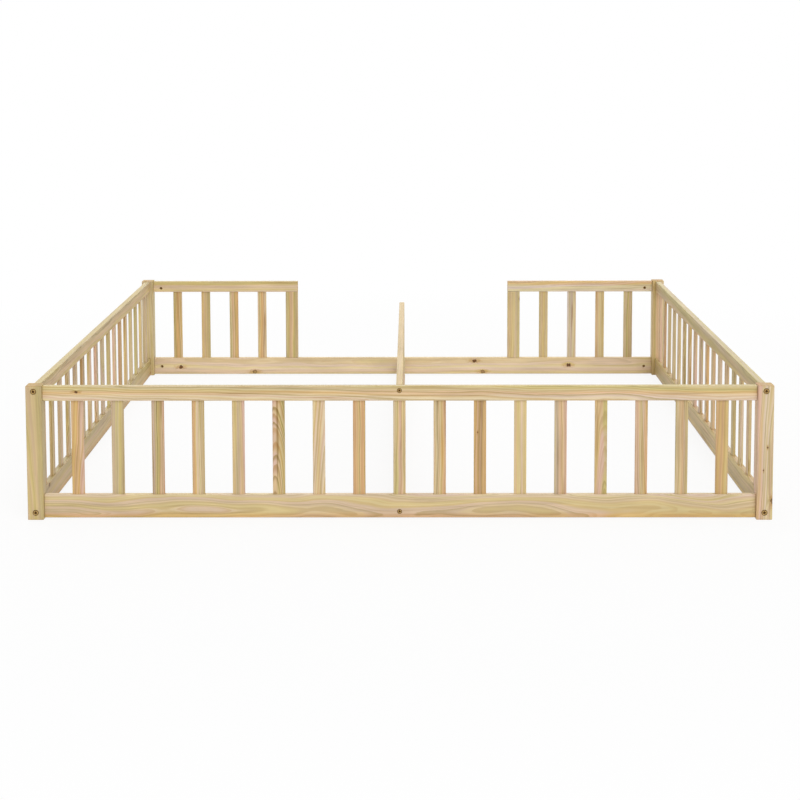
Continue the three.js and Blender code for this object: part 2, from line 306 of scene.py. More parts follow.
# %% [markdown]
# The bolts, told by their nodes.
# A flat socket-head bolt sits flush in a shallow counterbore and draws a barrel nut towards it. Each node's
# box gives the head, the length and the place, and its name says which way the bolt goes in. The hardware
# is read before any wood is made, because the holes in the wood are cut to it.

# %% Read the bolts and nuts from the frame
bolt_ways = {
    "front": (0, 1, 0), "back_left": (1, 0, 0), "back_right": (-1, 0, 0), "back_middle": (0, -1, 0),
}
nut_mouths = {
    "front_left": (1, 0, 0), "front_right": (-1, 0, 0), "front_middle": (1, 0, 0),
    "back_left": (0, -1, 0), "back_right": (0, -1, 0), "back_middle": (1, 0, 0),
}


def read_hardware(kind, ways):
    """Place, way, length and radius of each bolt or nut, from its node's box."""
    found = {}
    for node in sorted(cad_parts):
        if not node.startswith(kind + "_"):
            continue
        low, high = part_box(node)
        way = Vector(next(ways[start] for start in ways if node.startswith(f"{kind}_{start}")))
        length = abs((high - low).dot(way))
        found[node] = {
            "low": low, "high": high, "way": way, "length": length, "radius": (high - low).z / 2,
            "start": (low + high) / 2 - way * length / 2,
        }
    return found


bolts = read_hardware("bolt", bolt_ways)
nuts = read_hardware("nut", nut_mouths)
print("bolts:", len(bolts), "nuts:", len(nuts))

# %% [markdown]
# The holes that take them.
# In the shop a bolt's hole is drilled in steps, the wide counterbore first and then the clearance hole, and
# the barrel nut's hole is drilled across it from one face and stops short of the other. Several cylinders
# could be cut out one after another, but where they share a wall the boolean leaves slivers. One turned
# profile for each hole leaves none.

# %% Shape the holes
shank_radius = 3 * MM
head_thickness = 3 * MM
bore_clearance = 0.5 * MM
mouth_chamfer = 0.5 * MM
overshoot = 1 * MM
hidden_floor = 0.2 * MM
least_overlap = 1 * MM


def meets(board, item):
    """True if the item's box reaches into the board's."""
    for i in range(3):
        if item["low"][i] >= board["high"][i] - least_overlap:
            return False
        if item["high"][i] <= board["low"][i] + least_overlap:
            return False
    return True


def bolt_hole(bolt):
    """The counterbore and the clearance hole of a bolt, as one cutter."""
    head = bolt["radius"] + fit
    bore = shank_radius + bore_clearance
    seat = head_thickness + fit
    bottom = bolt["length"] + fit
    profile = [
        (-overshoot, 0), (-overshoot, head + mouth_chamfer), (0, head + mouth_chamfer), (mouth_chamfer, head),
        (seat, head), (seat, bore), (bottom, bore), (bottom, 0),
    ]
    return turned(profile, facing(bolt["start"], bolt["way"]))


def nut_hole(nut, board):
    """The blind cross hole of a barrel nut, which opens on the face that its way points to."""
    radius = nut["radius"] + fit
    bottom = -fit - hidden_floor
    thickness = abs((board["high"] - board["low"]).dot(nut["way"]))
    mouth = nut["length"] + (thickness - nut["length"]) / 2
    profile = [
        (bottom, 0), (bottom, radius), (mouth - mouth_chamfer, radius), (mouth, radius + mouth_chamfer),
        (mouth + overshoot, radius + mouth_chamfer), (mouth + overshoot, 0),
    ]
    return turned(profile, facing(nut["start"], nut["way"]))


print("the clearance hole is wider than the shank by, in mm:", 2 * bore_clearance / MM)

# %% [markdown]
# One board.
# With its axes, its skin and its tenons, a board is one call. Its box comes from the frame, so it can't be
# out of place, and its box, size and grain are kept with it, because the mortises in its neighbours, its
# knots and its grain are all worked out from them later.

# %% Make a board
boards = {}


def stick(name, low, high, grain, easing, tenoned=(), tenon=None):
    """A board in the box from low to high. tenoned has -1 or 1 for each end with a tenon, and tenon is
    its length, width and thickness."""
    place, size = board_axes(low, high, grain)
    length, width, thickness = size
    start = -length / 2 + (tenon[0] if -1 in tenoned else 0)
    end = length / 2 - (tenon[0] if 1 in tenoned else 0)
    stations = eased_stations(start, end, width, thickness, easing)
    if -1 in tenoned:
        stations = [(-length / 2, *tenon[1:], least_easing), (start, *tenon[1:], least_easing)] + stations
    if 1 in tenoned:
        stations += [(end, *tenon[1:], least_easing), (length / 2, *tenon[1:], least_easing)]
    piece = make_piece("pine_" + name, skin(stations), place)
    boards[name] = {"piece": piece, "low": low, "high": high, "size": size, "grain": grain}


print("a rail's tenon along and through, in mm:", round(tenon_length / MM), round(tenon_thickness / MM))

# %% [markdown]
# The slats and the end stiles.
# Slats are thin strips with a small round on each edge, glued into mortises in the rails. The front ones
# are nodes of their own. In the other fences they are one node with their top rail, so their places are
# worked out from the posts, the stiles and the counts, in the way a joiner steps them out with dividers.

# %% Make the slats and the end stiles
slat_low, slat_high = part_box("front_slat_01")
slat_width = slat_high.x - slat_low.x
slat_thickness = slat_high.y - slat_low.y
stile_tenon = (stile_tenon_length, stile_tenon_width, tenon_thickness)


def even_gaps(count, start, end):
    """Slat centres with the same gap everywhere, the ends too."""
    gap = (end - start - count * slat_width) / (count + 1)
    return [start + gap + slat_width / 2 + i * (slat_width + gap) for i in range(count)]


def even_steps(count, start, end, end_gap):
    """Slat centres with a fixed gap at both ends and even steps between."""
    first = start + end_gap + slat_width / 2
    step = (end - start - 2 * (end_gap + slat_width / 2)) / (count - 1)
    return [first + i * step for i in range(count)]


def fill_fence(fence, run, centres, plane):
    """The slats of a fence that runs along x or y, at their centres along the run and at plane across it."""
    for i, centre in enumerate(centres):
        sides = [(centre, slat_width / 2), (plane, slat_thickness / 2)]
        if run == "y":
            sides.reverse()
        low = Vector((*(middle - half for middle, half in sides), slat_low.z))
        high = Vector((*(middle + half for middle, half in sides), slat_high.z))
        stick(f"{fence}_slat_{i + 1:02d}", low, high, "z", slat_easing)


for node in sorted(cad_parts):
    if node.startswith("front_slat_"):
        stick(node, *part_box(node), "z", slat_easing)
    if node.endswith("_end_stile"):
        stick(node, *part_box(node), "z", rail_easing, (-1, 1), stile_tenon)

post_inner_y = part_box("post_back_left")[0].y
for side in ("left", "right"):
    rail_low, rail_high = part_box(f"{side}_lower_rail")
    centres = even_steps(side_slats, -post_inner_y, post_inner_y, side_end_gap)
    fill_fence(side, "y", centres, (rail_low.x + rail_high.x) / 2)

post_inner_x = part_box("post_back_right")[0].x
back_low, back_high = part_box("back_lower_rail")
back_plane = (back_low.y + back_high.y) / 2
left_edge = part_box("back_left_end_stile")[0].x
right_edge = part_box("back_right_end_stile")[1].x
fill_fence("back_left", "x", even_gaps(short_fence_slats, -post_inner_x, left_edge), back_plane)
fill_fence("back_right", "x", even_gaps(short_fence_slats, right_edge, post_inner_x), back_plane)

divider_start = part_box("front_lower_rail")[1].y
divider_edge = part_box("divider_end_stile")[0].y
fill_fence("divider", "y", even_gaps(divider_slats, divider_start, divider_edge), 0)

slats = [name for name in boards if "_slat_" in name]
stiles = [name for name in boards if name.endswith("_end_stile")]
print("slats:", len(slats), "stiles:", len(stiles))

# %% [markdown]
# The rails and the posts.
# A rail is a long board with a mortise for every slat. Its tenons go into the posts, or a bolt pulls it
# there. The posts are square. Every slot is cut from the box of the slat that fills it, a hair wider all
# round, and every bolt hole from its bolt, so the wood can't disagree with what goes into it.

# %% Make the rails and the posts
top_rail_low, top_rail_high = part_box("front_top_rail")
top_rail_height = top_rail_high.z - top_rail_low.z
tenoned_ends = {
    "front_top_rail": (-1, 1),
    "front_lower_rail": (-1, 1),
    "left_top_rail": (1,),
    "left_lower_rail": (1,),
    "right_top_rail": (1,),
    "right_lower_rail": (1,),
}


def rail_box(node):
    """The box of the rail alone, where the node holds its slats too."""
    low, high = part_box(node)
    if node.endswith("_with_slats"):
        low.z = high.z - top_rail_height
    return low, high


for node in sorted(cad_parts):
    if "_rail" in node:
        name = node.removesuffix("_with_slats")
        low, high = rail_box(node)
        grain = "x" if high.x - low.x > high.y - low.y else "y"
        tenon = (tenon_length, high.z - low.z - 2 * tenon_shoulder, tenon_thickness)
        stick(name, low, high, grain, rail_easing, tenoned_ends.get(name, ()), tenon)
for node in sorted(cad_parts):
    if node.startswith("post_"):
        stick(node, *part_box(node), "z", post_easing)

rails = [name for name in boards if name.endswith("_rail")]
posts = [name for name in boards if name.startswith("post_")]
print("rails:", len(rails), "posts:", len(posts))


# %% Cut the mortises and the holes
def narrow(low, high, axis, width):
    """Narrows a box to a width about its middle, along one axis."""
    middle = (low[axis] + high[axis]) / 2
    low[axis] = middle - width / 2
    high[axis] = middle + width / 2


def upright_mortise(name):
    """The mortises of a slat or a stile, as one long cutter."""
    low, high = boards[name]["low"].copy(), boards[name]["high"].copy()
    if name in stiles:
        wide = 0 if high.x - low.x > high.y - low.y else 1
        narrow(low, high, wide, stile_tenon_width)
        narrow(low, high, 1 - wide, tenon_thickness)
    return block(low, high, fit)


def rail_mortise(name):
    """What a rail's tenons take out of the posts."""
    low, high = boards[name]["low"].copy(), boards[name]["high"].copy()
    narrow(low, high, 1 if boards[name]["grain"] == "x" else 0, tenon_thickness)
    low.z += tenon_shoulder
    high.z -= tenon_shoulder
    return block(low, high, fit)


for name in rails + posts:
    board = boards[name]
    if name in rails:
        cut(board["piece"], [upright_mortise(n) for n in slats + stiles if meets(board, boards[n])])
    else:
        cut(board["piece"], [rail_mortise(n) for n in rails if meets(board, boards[n])])
    cut(board["piece"], [bolt_hole(bolt) for bolt in bolts.values() if meets(board, bolt)])
    cut(board["piece"], [nut_hole(nut, board) for nut in nuts.values() if meets(board, nut)])

for board in boards.values():
    soften_shading(board["piece"])
print("faces in the front top rail:", len(boards["front_top_rail"]["piece"].data.polygons))

# %% [markdown]
# The bolts and the barrel nuts.
# The head is a flat disc with a broken edge and a hex socket with a small lead-in, and the shank carries a
# thread. The nut is a short rod with a cross hole, which is plain here because the bolt fills it, and a
# screwdriver slot in the end that shows. Both are small in the picture, but a socket with real depth
# catches its own shadow, which no texture does.

# %% Shape a bolt
head_easing = 0.7 * MM
socket_corner = 5 * MM / math.sqrt(3)
socket_depth = 2.2 * MM
socket_lead_in = 0.4 * MM
thread_pitch = 1 * MM
thread_depth = 0.35 * MM
thread_length = 22 * MM


def hex_cutter(place):
    """A hex prism that sinks the socket, 5 mm across its flats."""
    shape = bmesh.new()
    bmesh.ops.create_cone(
        shape, cap_ends=True, segments=6, radius1=socket_corner, radius2=socket_corner,
        depth=2 * socket_depth, matrix=place @ Matrix.Rotation(math.pi / 2, 4, "Y"),
    )
    return shape


def bolt_piece(node, bolt):
    """A socket-head bolt, its head flush with the wood."""
    head, length = bolt["radius"], bolt["length"]
    profile = [(0, 0)] + [(run, head - inset) for run, inset in quarter_round(head_easing)]
    profile += [(head_thickness, head), (head_thickness, shank_radius)]
    along = length - thread_length
    while along < length - thread_pitch:
        profile += [(along, shank_radius), (along + thread_pitch / 2, shank_radius - thread_depth)]
        along += thread_pitch
    profile += [(length - thread_depth, shank_radius), (length, shank_radius - thread_depth), (length, 0)]
    place = facing(bolt["start"], bolt["way"])
    piece = make_piece("bronze_" + node, turned(profile), place)
    mouth = socket_corner + socket_lead_in + overshoot
    lead_in = [(-overshoot, 0), (-overshoot, mouth), (socket_lead_in, socket_corner), (socket_lead_in, 0)]
    cut(piece, [turned(lead_in, place)])
    cut(piece, [hex_cutter(place)])
    return piece


hardware = {node: bolt_piece(node, bolt) for node, bolt in bolts.items()}
print("bolts made:", len(hardware))

# %% Shape a nut
nut_easing = 0.6 * MM
slot_width = 1.6 * MM
slot_depth = 1.4 * MM


def nut_piece(node, nut):
    """A barrel nut with its cross hole and its slot."""
    radius, length = nut["radius"], nut["length"]
    profile = [
        (0, 0), (0, radius - nut_easing), (nut_easing, radius), (length - nut_easing, radius),
        (length, radius - nut_easing), (length, 0),
    ]
    piece = make_piece("bronze_" + node, turned(profile), facing(nut["start"], nut["way"]))
    bolt_way = bolts[node.replace("nut", "bolt")]["way"]
    bore = shank_radius + fit
    cross = [(-length, 0), (-length, bore), (length, bore), (length, 0)]
    cut(piece, [turned(cross, facing((nut["low"] + nut["high"]) / 2, bolt_way))])
    mouth = nut["start"] + nut["way"] * length
    slot = Vector(abs(value) for value in bolt_way * 2 * radius) + Vector((0, 0, slot_width / 2))
    slot += Vector(abs(value) for value in nut["way"]) * slot_depth
    cut(piece, [block(mouth - slot, mouth + slot)])
    return piece


hardware |= {node: nut_piece(node, nut) for node, nut in nuts.items()}
for piece in hardware.values():
    soften_shading(piece)
print("pieces of hardware:", len(hardware))

# %% [markdown]
# Reckoning with nodes.
# A node tree written out by hand repeats the same three steps: make a node, set it, join it. Here a node's
# output is a value that can be added, taken away, multiplied and divided like a number, and each such step
# makes one more maths node. So the recipes below read like formulas.

# %% Reckon with the outputs of nodes
class Value:
    """An output of a node, to reckon with."""

    def __init__(self, socket):
        self.socket = socket
        self.tree = socket.id_data

    def maths(self, operation, *others):
        """A maths node behind this output, or a vector maths node where it is a place."""
        kind = "ShaderNodeVectorMath" if self.socket.type == "VECTOR" else "ShaderNodeMath"
        return new_value(kind, 0, dict(enumerate((self, *others))), operation=operation)

    def __add__(self, other):
        return self.maths("ADD", other)

    def __sub__(self, other):
        return self.maths("SUBTRACT", other)

    def __mul__(self, other):
        return self.maths("MULTIPLY", other)

    def __truediv__(self, other):
        return self.maths("DIVIDE", other)


def feed(socket, value):
    """Joins a value to an input, or sets the input to a plain number or colour."""
    if isinstance(value, Value):
        value.tree.links.new(value.socket, socket)
    else:
        socket.default_value = value


def new_node(kind, inputs=(), tree=None, **settings):
    """A new node with its settings and inputs, in the given tree or else in the tree of its inputs."""
    inputs = dict(inputs)
    if tree is None:
        tree = next(value.tree for value in inputs.values() if isinstance(value, Value))
    made = tree.nodes.new(kind)
    for name, setting in settings.items():
        setattr(made, name, setting)
    for key, value in inputs.items():
        feed(made.inputs[key], value)
    return made


def new_value(kind, output, inputs=(), tree=None, **settings):
    """One output of a new node."""
    return Value(new_node(kind, inputs, tree, **settings).outputs[output])


print("a value can be reckoned with by: + - * /")

# %% [markdown]
# A few tools for recipes.
# Wood is mostly noise that is stretched, cut off softly and mixed. Each of those is one node with a handful
# of sockets, some of them found only by their number, so each gets a plain name here and says what it does.

# %% Name the tools
MIX_FACTOR, MIX_FIRST, MIX_SECOND, MIX_RESULT = 0, 6, 7, 2
FALLING = (1.0, 0.0)


def split(place):
    """The x, y and z of a place, or the red, green and blue of a colour."""
    return [Value(socket) for socket in new_node("ShaderNodeSeparateXYZ", {0: place}).outputs]


def spread(value, *shares):
    """A place that has the value, times a share, along each axis."""
    return new_value("ShaderNodeVectorMath", 0, {0: value, 1: shares}, operation="MULTIPLY")


def length(*sides):
    """How long a line is that goes this far along each axis."""
    total = sides[0] * sides[0]
    for side in sides[1:]:
        total = total + side * side
    return total.maths("SQRT")


def noise(place, scale=1.0, detail=2.0, roughness=0.5, output="Fac"):
    """Soft clouds in space."""
    inputs = {"Vector": place, "Scale": scale, "Detail": detail, "Roughness": roughness}
    return new_value("ShaderNodeTexNoise", output, inputs)


def line_noise(place, scale, detail=1.0):
    """Soft ups and downs along a line."""
    inputs = {"W": place, "Scale": scale, "Detail": detail}
    return new_value("ShaderNodeTexNoise", "Fac", inputs, noise_dimensions="1D")


def ramp(value, low, high, to_low=0.0, to_high=1.0, kind="SMOOTHSTEP"):
    """Goes from to_low to to_high while the value goes from low to high, and stays there."""
    inputs = dict(enumerate((value, low, high, to_low, to_high)))
    return new_value("ShaderNodeMapRange", 0, inputs, interpolation_type=kind)


def mix(share, first, second, how="MIX"):
    """The first colour, turned into the second as far as the share goes."""
    inputs = {MIX_FACTOR: share, MIX_FIRST: first, MIX_SECOND: second}
    return new_value("ShaderNodeMix", MIX_RESULT, inputs, data_type="RGBA", blend_type=how)


def tinted(colour, tint, share=1.0):
    """A colour multiplied by a tint as far as the share goes."""
    return mix(share, colour, tint, "MULTIPLY")


tools = (split, spread, length, noise, line_noise, ramp, mix, tinted)
print("tools:", ", ".join(tool.__name__ for tool in tools))

# %% [markdown]
# From a recipe to a group.
# An effect is worth a node group, because a group is built once, has a name, and can be placed in any
# material with other values. It is written as a recipe: a function whose arguments are the group's inputs
# and whose results are its outputs. The recipe is run once, inside the group's own tree.

# %% Turn a recipe into a group
FLOAT, VECTOR, COLOUR = "NodeSocketFloat", "NodeSocketVector", "NodeSocketColor"


def socket_name(name):
    """What a word of a recipe is called on the group."""
    return name.replace("_", " ").title()


def node_group(recipe):
    """Makes the group of a recipe, and gives back what places it among known values."""
    tree = bpy.data.node_groups.new(recipe.__name__, "ShaderNodeTree")
    wanted = recipe.__annotations__
    for name, kind in wanted.items():
        tree.interface.new_socket(name=socket_name(name), in_out="INPUT", socket_type=kind)
    given = tree.nodes.new("NodeGroupInput").outputs
    results = recipe(**{name: Value(given[socket_name(name)]) for name in wanted})
    for name, value in results.items():
        kind = COLOUR if value.socket.type == "RGBA" else FLOAT
        tree.interface.new_socket(name=socket_name(name), in_out="OUTPUT", socket_type=kind)
    ends = tree.nodes.new("NodeGroupOutput").inputs
    for name, value in results.items():
        feed(ends[socket_name(name)], value)
    print("group", recipe.__name__, "has", len(tree.nodes), "nodes and gives", ", ".join(results))

    def place(known):
        """Places the group, which takes what it needs from the known values, and gives what it adds."""
        inputs = {socket_name(name): known[name] for name in wanted}
        made = new_node("ShaderNodeGroup", inputs, node_tree=tree)
        return {name: Value(made.outputs[socket_name(name)]) for name in results}

    return place


print("on a group, ring_tone is called", socket_name("ring_tone"))

# %% [markdown]
# Growth rings.
# A pine trunk lays down a pale band each spring and a thin dark one each summer, in shells round the pith.
# A board is cut somewhere out of that trunk, and what shows on its faces is simply where the shells meet
# them: straight lines when the pith is far to the side, pointed arches when it lies under the face and runs
# out of it. So the group works out how far each point is from the pith, bends that distance as a real trunk
# wanders, and turns it into rings. Painting lines on each face would be quicker, but they would not meet at
# the edges. Each board brings its own pith and its own growth: the pith's tilt to the board, the width of a
# ring, and how far the trunk wanders.

# %% Group: growth rings
trunk_taper = 0.007
slow_bend = (3.4, 9.0, 9.0)
slow_detail = 1.5
quick_bend = (16.0, 75.0, 75.0)
quick_bend_size = 2.6 * MM
uneven_rings = 1.9
uneven_scale = 0.45
summer_starts = (0.18, 0.80)
summer_stops = (0.90, 1.0)
drift_scale = 85.0
drift_detail = 1.5


@node_group
def growth_rings(timber: VECTOR, pith: VECTOR, growth: VECTOR, swirl: FLOAT):
    """Where the summer wood is, how dark each ring is, and a slow drift from ring to ring."""
    pith_across, pith_below, seed = split(pith)
    tilt, ring_width, wander = split(growth)
    along, across, through = split(timber)
    moved = timber + spread(seed, 1, 0, 0)
    bend = split(noise(moved * slow_bend, detail=slow_detail, output="Color"))
    across = across - pith_across + (bend[0] - 0.5) * wander
    through = through - (along * tilt + pith_below) + (bend[1] - 0.5) * wander
    radius = length(across, through) + along * trunk_taper
    radius = radius + noise(moved * quick_bend) * quick_bend_size + swirl
    count = radius / ring_width + seed
    count = count + line_noise(count, uneven_scale) * uneven_rings
    phase = count.maths("FRACT")
    number = {"W": count.maths("FLOOR")}
    return {
        "latewood": ramp(phase, *summer_starts) * ramp(phase, *summer_stops, *FALLING),
        "ring_tone": new_value("ShaderNodeTexWhiteNoise", "Value", number, noise_dimensions="1D"),
        "drift": line_noise(radius + seed, drift_scale, drift_detail),
    }

# %% [markdown]
# Fibres.
# Between the rings a pine face is drawn out in fine lines along the grain, with short brown dashes where
# resin canals are cut open, a few long dark streaks where resin has settled, and soft clouds where the wood
# grew a little denser. All four are noise squeezed across the grain and stretched along it, each at its own
# scale, so one group can hold them.

# %% Group: fibres
fibre_stretch = (5.0, 420.0, 420.0)
fibre_detail = 3.0
fibre_roughness = 0.6
fleck_stretch = (42.0, 900.0, 900.0)
fleck_edge = (0.68, 0.78)
streak_stretch = (3.4, 120.0, 120.0)
cloud_stretch = (7.0, 26.0, 26.0)


@node_group
def fibres(timber: VECTOR, pith: VECTOR):
    """Fine lines, short dashes, long streaks and soft clouds."""
    moved = timber + spread(split(pith)[2], 1, 1, 0)
    return {
        "fibre": noise(moved * fibre_stretch, detail=fibre_detail, roughness=fibre_roughness),
        "fleck": ramp(noise(moved * fleck_stretch, detail=1.0), *fleck_edge),
        "streak": noise(moved * streak_stretch),
        "cloud": noise(moved * cloud_stretch),
    }

# %% [markdown]
# Knots.
# A knot is a branch that the trunk grew round. On a face it is a dark disc with a darker rim and fine rings
# of its own, and the rings of the board flow round it like water round a stone. A branch runs through a thin
# board from face to face, and ends a little way inside a post. The group gives the disc and the rim as masks,
# the brown bloom drawn out along the grain, and the push that the growth rings need as a length.

# %% Group: knots
knot_stretch = 1.25
knot_noise_scale = 170.0
knot_raggedness = 1.3
core_edge = (0.75, 1.05)
rim_inside = (0.55, 0.90)
rim_outside = (1.0, 1.30)
bloom_stretch = 2.2
bloom_raggedness = 2.2
bloom_edge = (0.6, 2.3)
push_reach = 2.4
push_size = 1.1


@node_group
def knot(timber: VECTOR, along: FLOAT, across: FLOAT, radius: FLOAT, face: FLOAT, depth: FLOAT):
    """The disc, the rim and the bloom of one knot, and how far it pushes the rings."""
    x, y, z = split(timber)
    x = (x - along) / knot_stretch
    y = y - across
    inward = (z - face) / depth
    rough = noise(timber, knot_noise_scale) - 0.5
    distance = length(length(x, y) / radius, inward)
    ragged = distance + rough * knot_raggedness
    drawn_out = length(length(x / bloom_stretch, y) / radius, inward) + rough * bloom_raggedness
    far = distance / push_reach
    return {
        "core": ramp(ragged, *core_edge, *FALLING),
        "rim": ramp(ragged, *rim_inside) * ramp(ragged, *rim_outside, *FALLING),
        "bloom": ramp(drawn_out, *bloom_edge, *FALLING),
        "swirl": (far * far * -1.0).maths("EXPONENT") * (radius * push_size),
    }

# %% [markdown]
# Bands.
# Wood is seldom one colour across a board. One side was nearer the heart and is warm, the other is sapwood
# and pale, and a stripe of olive or rose may run between. Three tints, one for each side and one for the
# middle, meet along wavy borders, and each board says where its borders lie.

# %% Group: bands
band_wave = (4.5, 34.0, 34.0)
band_detail = 2.5
band_softness = 0.22


@node_group
def bands(
    timber: VECTOR, pith: VECTOR, half_size: VECTOR, borders: VECTOR,
    low_side: VECTOR, middle: VECTOR, high_side: VECTOR,
):
    """The tint at each point, from the board's three."""
    moved = timber + spread(split(pith)[2], 1, 0, 1)
    low_border, high_border, waviness = split(borders)
    wave = (noise(moved * band_wave, detail=band_detail) - 0.5) * waviness
    share = split(timber)[1] / split(half_size)[1] + wave
    low_share = ramp(low_border - share, -band_softness, band_softness)
    high_share = ramp(share - high_border, -band_softness, band_softness)
    return {"tint": mix(high_share, mix(low_share, middle, low_side), high_side)}

# %% [markdown]
# Edges and ends.
# Sanding breaks the long edges, and they come out a touch paler and smoother than the faces. The ends
# drink more lacquer, so they are darker and duller. Each board carries its half size as an attribute, and
# the distance from the edge follows from that, the same on every board.

# %% Group: edges and ends
@node_group
def edges_and_ends(timber: VECTOR, half_size: VECTOR, reach: FLOAT):
    """Masks that fall from 1 at an edge or an end to 0 at the reach."""
    inward = split(half_size - timber.maths("ABSOLUTE"))
    return {
        "edge": ramp(inward[1].maths("MAXIMUM", inward[2]), 0.0, reach, *FALLING),
        "end": ramp(inward[0], 0.0, reach, *FALLING),
    }

# %% [markdown]
# The colour of pine.
# Fresh pine under a clear lacquer runs from cream in the spring wood to orange and olive in the summer wood,
# and the spring wood itself leans to gold or to rose from one group of rings to the next. One group mixes
# all that from the masks. Every board brings its own lightness and strength of figure in one attribute.

# %% Group: pine colour
spring_gold = (0.693, 0.566, 0.306, 1)
spring_rose = (0.703, 0.545, 0.412, 1)
summer_orange = (0.525, 0.312, 0.119, 1)
summer_olive = (0.416, 0.312, 0.130, 1)
streak_brown = (0.62, 0.50, 0.38, 1)
rose_range = (0.38, 0.62)
olive_range = (0.35, 0.65)
streak_edge = (0.60, 0.70)
faintest_ring = 0.35
fleck_depth = 0.10
# Each of these takes a noise from its first to its second value, and the shade from its third to its fourth.
fibre_shade = (0.25, 0.75, 0.94, 1.05)
streak_shade = (0.30, 0.62, 1.05, 0.96)
cloud_shade = (0.30, 0.70, 0.93, 1.06)


@node_group
def pine_colour(
    latewood: FLOAT, ring_tone: FLOAT, drift: FLOAT, fibre: FLOAT, fleck: FLOAT, streak: FLOAT, cloud: FLOAT,
    tone: VECTOR, tint: COLOUR,
):
    """The colour of the wood, before its edges and knots."""
    lightness, strength, streaks = split(tone)
    spring = mix(ramp(drift, *rose_range), spring_gold, spring_rose)
    summer = mix(ramp(ring_tone, *olive_range), summer_orange, summer_olive)
    depth = latewood * ramp(ring_tone, 0.0, 1.0, faintest_ring, 1.0, "LINEAR") * strength
    colour = tinted(mix(depth, spring, summer), tint)
    colour = tinted(colour, streak_brown, ramp(streak, *streak_edge) * streaks)
    fine = ramp(fibre, *fibre_shade, "LINEAR") - fleck * fleck_depth
    coarse = ramp(streak, *streak_shade, "LINEAR")
    soft = ramp(cloud, *cloud_shade, "LINEAR")
    return {"color": tinted(colour, fine * coarse * soft * lightness)}

# %% [markdown]
# Pine, as a material.
# The groups meet here with the shader. The lacquer is thin and satin, so its coat and sheen are low, and
# they are set on the shader itself, while colour, roughness and the tiny relief of the grain come from the
# masks. A board with knots has a material of its own, because its knots sit at known places.

# %% Name the finish
knot_brown = (0.170, 0.072, 0.020, 1)
rim_brown = (0.075, 0.032, 0.010, 1)
bloom_brown = (0.80, 0.68, 0.46, 1)
end_tint = (0.86, 0.76, 0.62, 1)
edge_tint = (1.04, 1.04, 1.05, 1)
edge_reach = 2.2 * MM
fibre_dullness = (0.3, 0.7, 0.50, 0.62)
summer_gloss = 0.06
end_dullness = 0.15
sheen = 0.30
coat = 0.06
coat_roughness = 0.30
summer_relief = 0.5
knot_relief = 0.5
relief_strength = 0.35
relief = 0.12 * MM
print("relief of the grain in mm:", relief / MM)

# %% Build a pine
board_values = ("pith", "growth", "tone", "half_size", "borders", "low_side", "middle", "high_side")


def new_material(name, values):
    """A material, the inputs of its shader, the place in its piece, and what each piece brings along."""
    material = bpy.data.materials.new(name)
    material.use_nodes = True
    tree = material.node_tree
    known = {"timber": new_value("ShaderNodeTexCoord", "Object", tree=tree)}
    for value in values:
        known[value] = new_value("ShaderNodeAttribute", "Vector", tree=tree, attribute_name=value)
    return material, tree.nodes["Principled BSDF"].inputs, known


def pine(name, knots=()):
    """A pine. Each knot is its place, depth and radius by name, in metres, and its darkness."""
    material, shader, known = new_material(name, board_values)
    swirl = core = rim = bloom = 0.0
    for place, darkness in knots:
        spot = knot(known | place)
        swirl = spot["swirl"] + swirl
        core = (spot["core"] * darkness).maths("MAXIMUM", core)
        rim = (spot["rim"] * math.sqrt(darkness)).maths("MAXIMUM", rim)
        bloom = spot["bloom"].maths("MAXIMUM", bloom)
    known |= {"swirl": swirl, "reach": edge_reach}
    for group in (growth_rings, fibres, bands, edges_and_ends, pine_colour):
        known |= group(known)
    colour = tinted(known["color"], edge_tint, known["edge"])
    colour = tinted(colour, end_tint, known["end"])
    if knots:
        colour = tinted(colour, bloom_brown, bloom)
        colour = mix(core, colour, knot_brown)
        colour = mix(rim, colour, rim_brown)
    feed(shader["Base Color"], colour)
    dull = ramp(known["fibre"], *fibre_dullness, "LINEAR")
    feed(shader["Roughness"], dull - known["latewood"] * summer_gloss + known["end"] * end_dullness)
    feed(shader["Specular IOR Level"], sheen)
    feed(shader["Coat Weight"], coat)
    feed(shader["Coat Roughness"], coat_roughness)
    height = known["fibre"] + known["latewood"] * summer_relief
    if knots:
        height = height - core * knot_relief
    bump = {"Strength": relief_strength, "Distance": relief, "Height": height}
    feed(shader["Normal"], new_value("ShaderNodeBump", "Normal", bump))
    return material


clear_pine = pine("pine_clear")
print("nodes in a pine without knots:", len(clear_pine.node_tree.nodes))

# %% [markdown]
# Where the knots are.
# The knots of the bed in the picture are few and easy to place: five in the long back rail, three in the
# right front post, and one each in the front top rail, the left lower rail, a front slat and the back right
# end stile. Each is marked on its board as a joiner would mark it, by how far along the bed and how high it
# is and by its radius, in millimetres, and by how dark it is.

# %% Mark the knots
knot_depth = 15 * MM
right_through = 10.0
marked_knots = {
    "back_lower_rail": [
        (-881, 31, 5.5, 1.0), (-587, 12, 6.0, 0.45), (285, 55, 5.5, 1.0), (318, 12, 6.0, 0.5),
        (657, 38, 6.0, 1.0),
    ],
    "front_top_rail": [(-892, 357, 3.0, 1.0)],
    "left_lower_rail": [(-862, 63, 4.0, 1.0)],
    "post_front_right": [(1014, 203, 1.8, 1.0), (1003, 139, 1.6, 1.0), (1030, 53, 5.5, 0.6)],
    "front_slat_11": [(216, 242, 1.6, 0.6)],
    "back_right_end_stile": [(462, 303, 2.8, 0.6)],
}


